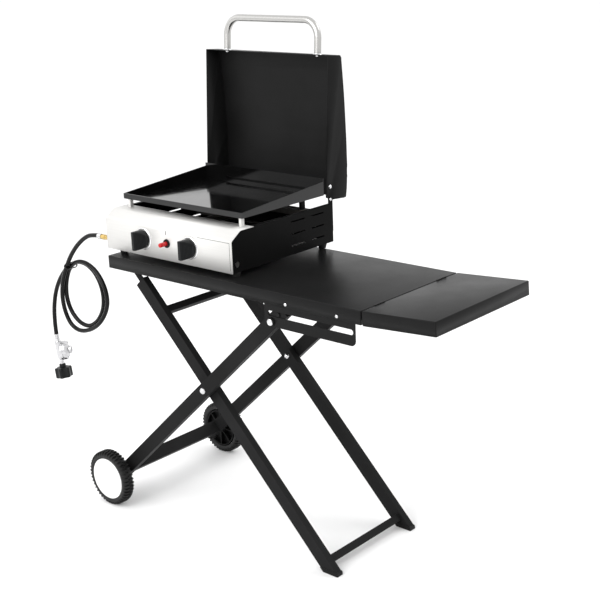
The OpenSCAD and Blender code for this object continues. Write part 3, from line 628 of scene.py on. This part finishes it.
def wheel_place(rear):
    """Local Z runs outwards along the axle, from the table's side."""
    if rear:
        return frame_along(at(axle_x, TABLE[1], WHEEL_R), (0, 1, 0))
    return frame_along(at(axle_x, 0, WHEEL_R), (0, -1, 0))


def tyre_section(inner_top, outer_top):
    """Closed section of the tyre as (radius, height), where each row is a block or a groove."""
    r1 = WHEEL_R - (0 if inner_top else TREAD_DEPTH)
    r2 = WHEEL_R - (0 if outer_top else TREAD_DEPTH)
    groove = WHEEL_R - TREAD_DEPTH
    middle = (WHEEL_IN + WHEEL_OUT) / 2
    base = WHEEL_R - 12
    return [
        (HUB_R + 0.1, WHEEL_IN + 2.5), (HUB_R + 2, WHEEL_IN + 1.2), (HUB_R + 5, WHEEL_IN + 0.4),
        (base, WHEEL_IN + 0.2), (r1 - 6.5, WHEEL_IN + 0.9), (r1 - 2.6, WHEEL_IN + 2.4),
        (r1 - 0.8, WHEEL_IN + 5), (r1, WHEEL_IN + 8), (r1, middle - 1.0), (groove, middle - 0.8),
        (groove, middle + 0.8), (r2, middle + 1.0), (r2, WHEEL_OUT - 8), (r2 - 0.8, WHEEL_OUT - 5),
        (r2 - 2.6, WHEEL_OUT - 2.4), (r2 - 6.5, WHEEL_OUT - 0.9), (base, WHEEL_OUT - 0.2),
        (HUB_R + 5, WHEEL_OUT - 0.4), (HUB_R + 2, WHEEL_OUT - 1.2), (HUB_R + 0.1, WHEEL_OUT - 2.5)]


def make_tyre(name, rear):
    bm = bmesh.new()
    place = wheel_place(rear)
    turns = [(-0.18, 0, 0), (-0.14, 1, 0), (0.14, 1, 0), (0.18, 0, 0),
             (0.32, 0, 0), (0.36, 0, 1), (0.64, 0, 1), (0.68, 0, 0)]
    rings = []
    for block in range(TREAD_BLOCKS):
        for turn, inner_top, outer_top in turns:
            a = 2 * math.pi * (block + turn) / TREAD_BLOCKS - math.pi / 2
            rings.append([
                bm.verts.new(place @ Vector((r * MM * math.cos(a), r * MM * math.sin(a), z * MM)))
                for r, z in tyre_section(inner_top, outer_top)])
    count = len(rings[0])
    for i, ring in enumerate(rings):
        after = rings[(i + 1) % len(rings)]
        for k in range(count):
            n = (k + 1) % count
            bm.faces.new((ring[k], ring[n], after[n], after[k]))
    body = "wheel_rear" if rear else "wheel_front"
    node = "tyre_rear" if rear else "tyre_front"
    new_piece(name, mesh_of(name, bm), "tyre", body, node)


def make_hub_cap(name, rear):
    bm = bmesh.new()
    z = WHEEL_OUT - 3.5
    lathe(bm, [(HUB_R - 3, z), (HUB_R - 0.1, z), (HUB_R - 0.1, z + 2.4), (HUB_R - 1.2, z + 3.4),
               (HUB_R - 4, z + 3.9), (HUB_R - 9, z + 4.2), (36, z + 4.5), (18, z + 4.7), (0, z + 4.75),
               (0, z + 1.5), (HUB_R - 3, z + 1.5), (HUB_R - 3, z)], wheel_place(rear), 96)
    body = "wheel_rear" if rear else "wheel_front"
    node = "hub_cap_rear" if rear else "hub_cap_front"
    new_piece(name, mesh_of(name, bm), "white_plastic", body, node)


for label, rear in (("front", False), ("rear", True)):
    make_tyre("wheel_tyre_" + label, rear)
    make_hub_cap("wheel_cap_" + label, rear)


# ---- Control panel ----

KNOB_X = {"left": 127.0, "right": 309.0}
KNOB_Z = 812.0
IGNITER_X = 221.0
PANEL_Y = 24.5


def make_front_panel():
    """One bent sheet of brushed steel."""
    line = rounded([(24.5, 764.5), (24.5, 850.5), (59.5, 873.5), (110, 873.5)], 5, 5)
    bm = bmesh.new()
    x0, x1 = -27.0, 464.0
    left = [bm.verts.new(at(x0, *p)) for p in line]
    right = [bm.verts.new(at(x1, *p)) for p in line]
    for k in range(len(line) - 1):
        bm.faces.new((left[k], left[k + 1], right[k + 1], right[k]))
    piece = new_piece("control_panel", mesh_of("control_panel", bm), "brushed_panel", "cart", "front_panel")
    thicken(piece, 1.0)


def make_panel_lines():
    """Thin black bars: painted shade along the edge of the panel's pressed border at its right end and top,
    and the tick over the igniter.
    """
    bm = bmesh.new()
    y = PANEL_Y - 0.25

    def bar(x0, z0, x1, z1):
        place = Matrix.Translation(at(x0, y + 0.2, z0)) @ Matrix.Rotation(math.pi / 2, 4, "X")
        prism(bm, [(0, 0), (x1 - x0, 0), (x1 - x0, z1 - z0), (0, z1 - z0)], place, 0.3)

    # Painted shade: these two black bars stand for the shaded edge of the real pressed border at the panel's
    # right end and top.
    bar(455.6, 772, 456.4, 845)
    bar(340, 845, 456.4, 845.8)
    bar(217.2, 835, 219.0, 846)
    new_piece("panel_marks", mesh_of("panel_marks", bm), "black_plastic", "cart")


def make_knob(side):
    """Round base under a tall wedge-shaped grip, with upright ribs on both flanks."""
    radius = 26.0
    place = frame_along(at(KNOB_X[side], 21.2, KNOB_Z), (0, -1, 0), up=(0, 0, 1))
    plan = [(0, 25.9), (0.5, 26), (5, 26), (6.2, 25.4), (8, 23)]
    for k in range(9):
        depth = 8 + 2.9 * k
        slope = 23.0 - 18 * (depth - 8) / 28
        plan += [(depth + 0.3, slope - 0.2), (depth + 1.3, slope - 0.8), (depth + 1.6, slope - 2.6),
                 (depth + 2.6, slope - 3.3)]
    plan += [(35.2, 5.2), (36.0, 4.2)]
    bm = bmesh.new()
    rings = []
    for depth, half in plan:
        r = radius - (0.0 if depth < 34 else 0.7 * (depth - 34) ** 2 * 0.5)
        top = math.degrees(math.asin(min(1.0, half / r)))
        ring = []
        for side_sign in (1, -1):
            for k in range(13):
                a = math.radians(top - 2 * top * k / 12) if side_sign == 1 else math.radians(
                    180 + top - 2 * top * k / 12)
                ring.append((r * math.sin(a), r * math.cos(a)))
        rings.append([bm.verts.new(place @ Vector((x * MM, y * MM, depth * MM))) for x, y in ring])
    count = len(rings[0])
    for one, two in zip(rings, rings[1:]):
        for k in range(count):
            n = (k + 1) % count
            bm.faces.new((one[k], one[n], two[n], two[k]))
    bm.faces.new(rings[-1])
    bm.faces.new(list(reversed(rings[0])))
    name = "control_knob_" + side
    new_piece(name, mesh_of(name, bm), "knob_plastic", "knob_" + side, "knob_" + side)


def make_bezels():
    bm = bmesh.new()
    for x in KNOB_X.values():
        place = frame_along(at(x, PANEL_Y, KNOB_Z), (0, -1, 0))
        lathe(bm, [(27.2, 0), (30.5, 0), (30.4, 0.8), (29.4, 1.7), (28.4, 2.0), (27.4, 1.6), (27.2, 0)],
              place, 96)
    new_piece("knob_rings", mesh_of("knob_rings", bm), "chrome", "cart", "knob_bezels")


def make_igniter():
    place = frame_along(at(IGNITER_X, PANEL_Y, KNOB_Z), (0, -1, 0))
    bm = bmesh.new()
    lathe(bm, [(6.3, -30), (8, -30), (8, 0), (11.7, 0), (12, 1), (11.6, 3.2), (10, 4), (6.9, 4),
               (6.3, 3.2), (6.3, -30)], place, 64)
    new_piece("igniter_housing", mesh_of("igniter_housing", bm), "black_plastic", "cart", "igniter_body")
    bm = bmesh.new()
    lathe(bm, [(0, -24), (5.9, -24), (5.9, 14), (4.9, 15), (4.9, 17), (5.95, 18.2), (6, 24.5),
               (5.2, 27), (3.2, 28.2), (0, 28.4)], place, 48)
    new_piece("igniter_cap", mesh_of("igniter_cap", bm), "red_plastic", "igniter_button", "igniter_button")


make_front_panel()
make_panel_lines()
for knob_side in KNOB_X:
    make_knob(knob_side)
make_bezels()
make_igniter()


# ---- Bolts ----

LOCK = (613.64, 672.06)


def make_lock_pins():
    """Bright button head on a black collar, one on each slide bracket."""
    for label, y, out in (("front", 0.0, -1), ("rear", TABLE[1], 1)):
        place = frame_along(at(LOCK[0], y, LOCK[1]), (0, out, 0))
        bm = bmesh.new()
        lathe(bm, [(0, -1), (9.2, -1), (9.2, 4.6), (8.6, 6.2), (6.6, 7.2), (5.2, 7.4), (4.6, 6.9),
                   (3.4, 6.9), (2.8, 7.4), (0, 7.5)], place, 48)
        name = "lock_pin_" + label
        new_piece("lock_head_" + label, mesh_of("lock_head_" + label, bm), "zinc", name, name)
        bm = bmesh.new()
        lathe(bm, [(8.9, -1.1), (10.9, -1.1), (11, 1.4), (10.2, 3.0), (9.4, 3.4), (8.9, 2.6), (8.9, -1.1)],
              place, 48)
        new_piece("lock_collar_" + label, mesh_of("lock_collar_" + label, bm), "black_plastic", name)


make_lock_pins()


BODY_TOP = 873.5
PLATE_BOTTOM = 897.0
BODY_FOLD = 2.0
POST_ENDS = ((-2, 7), (430, 439))


def make_plate_posts(name, slot_name, low, high, bottom, *replaced):
    """A pair of short posts that carry the cooking plate, one at each end of the body."""
    bm = bmesh.new()
    for x0, x1 in POST_ENDS:
        outline = rounded([(x0, low), (x1, low), (x1, high), (x0, high)], 1.0, 3, closed=True)
        prism(bm, outline, Matrix.Translation(at(0, 0, bottom)), PLATE_BOTTOM - bottom)
    new_piece(name, mesh_of(name, bm), slot_name, "cart", *replaced)


make_plate_posts("posts_front", "brushed_panel", 90, 102, BODY_TOP, "plate_posts")
make_plate_posts("posts_rear", "body_coat", 326, 342, BODY_TOP - BODY_FOLD)


# ---- CAD nodes that keep their shape ----

BEVELS = {
    "griddle_plate": 1.0,
    "foot_leg_front": 1.4, "foot_leg_rear": 1.4, "wheel_leg_front": 1.4, "wheel_leg_rear": 1.4,
    "foot_frame_bars": 1.2, "axle_crossmember": 1.4, "foot_caps": 1.0, "leg_end_plugs": 0.6,
    "slide_bracket_front": 0.5, "slide_bracket_rear": 0.5,
    "foot_leg_pivot_bars": 0.8, "support_rails": 0.4, "lid_brackets": 0.5, "hub_front": 0.5,
    "hub_rear": 0.5, "valves": 0.6, "leg_hinge_brackets": 0.5, "axle": 0.4, "rubber_feet": 0.8,
}


def dress(name, node):
    """Gives a CAD node its material, joined faces, and either softened edges or clean creases."""
    node.data.materials.clear()
    node.data.materials.append(SLOT_MATERIALS[node_slot[name]])
    weld = node.modifiers.new("weld", "WELD")
    weld.merge_threshold = 0.01 * MM
    flat = node.modifiers.new("flat", "DECIMATE")
    flat.decimate_type = "DISSOLVE"
    flat.angle_limit = math.radians(0.5)
    if name in BEVELS:
        bevel = node.modifiers.new("edges", "BEVEL")
        bevel.width = BEVELS[name] * MM
        bevel.segments = 2
        bevel.limit_method = "ANGLE"
        bevel.angle_limit = math.radians(40)
        bevel.harden_normals = True
        normals = node.modifiers.new("normals", "WEIGHTED_NORMAL")
        normals.keep_sharp = True
    else:
        creases = node.modifiers.new("creases", "EDGE_SPLIT")
        creases.split_angle = math.radians(35)
    for polygon in node.data.polygons:
        polygon.use_smooth = True


for node_name, node in frame["nodes"].items():
    if not node.hide_render:
        dress(node_name, node)


# ---- Studio ----

def make_floor():
    mesh = bpy.data.meshes.new("floor")
    size = 80.0
    mesh.from_pydata([(-size, -size, 0), (size, -size, 0), (size, size, 0), (-size, size, 0)], [],
                     [(0, 1, 2, 3)])
    floor = bpy.data.objects.new("floor", mesh)
    bpy.context.scene.collection.objects.link(floor)
    m = Nodes("floor_paper", grey(0.90), 0.9)
    m.tint(m.noise(3.0), grey(0.89), grey(0.91))
    mesh.materials.append(m.material)


def soft_light(name, place, target, width, height, power):
    data = bpy.data.lights.new(name, "AREA")
    data.shape = "RECTANGLE"
    data.size, data.size_y, data.energy = width, height, power
    light = bpy.data.objects.new(name, data)
    bpy.context.scene.collection.objects.link(light)
    aim = Vector(target) - Vector(place)
    light.matrix_world = Matrix.Translation(place) @ aim.to_track_quat("-Z", "Y").to_matrix().to_4x4()


def make_world():
    world = bpy.data.worlds.new("studio")
    bpy.context.scene.world = world
    world.use_nodes = True
    background = world.node_tree.nodes["Background"]
    background.inputs["Color"].default_value = (1.0, 1.0, 1.0, 1.0)
    background.inputs["Strength"].default_value = 1.15


make_floor()
make_world()
soft_light("key_light", (-0.6, -3.4, 3.0), (0.0, 0.0, 0.7), 3.6, 3.0, 110.0)
soft_light("fill_light", (-3.2, -1.2, 2.6), (-0.2, 0.0, 0.8), 3.0, 2.4, 10.0)
soft_light("back_light", (1.5, 3.0, 3.6), (0.2, 0.0, 0.8), 2.6, 1.6, 35.0)

bpy.context.scene.view_settings.view_transform = "Standard"
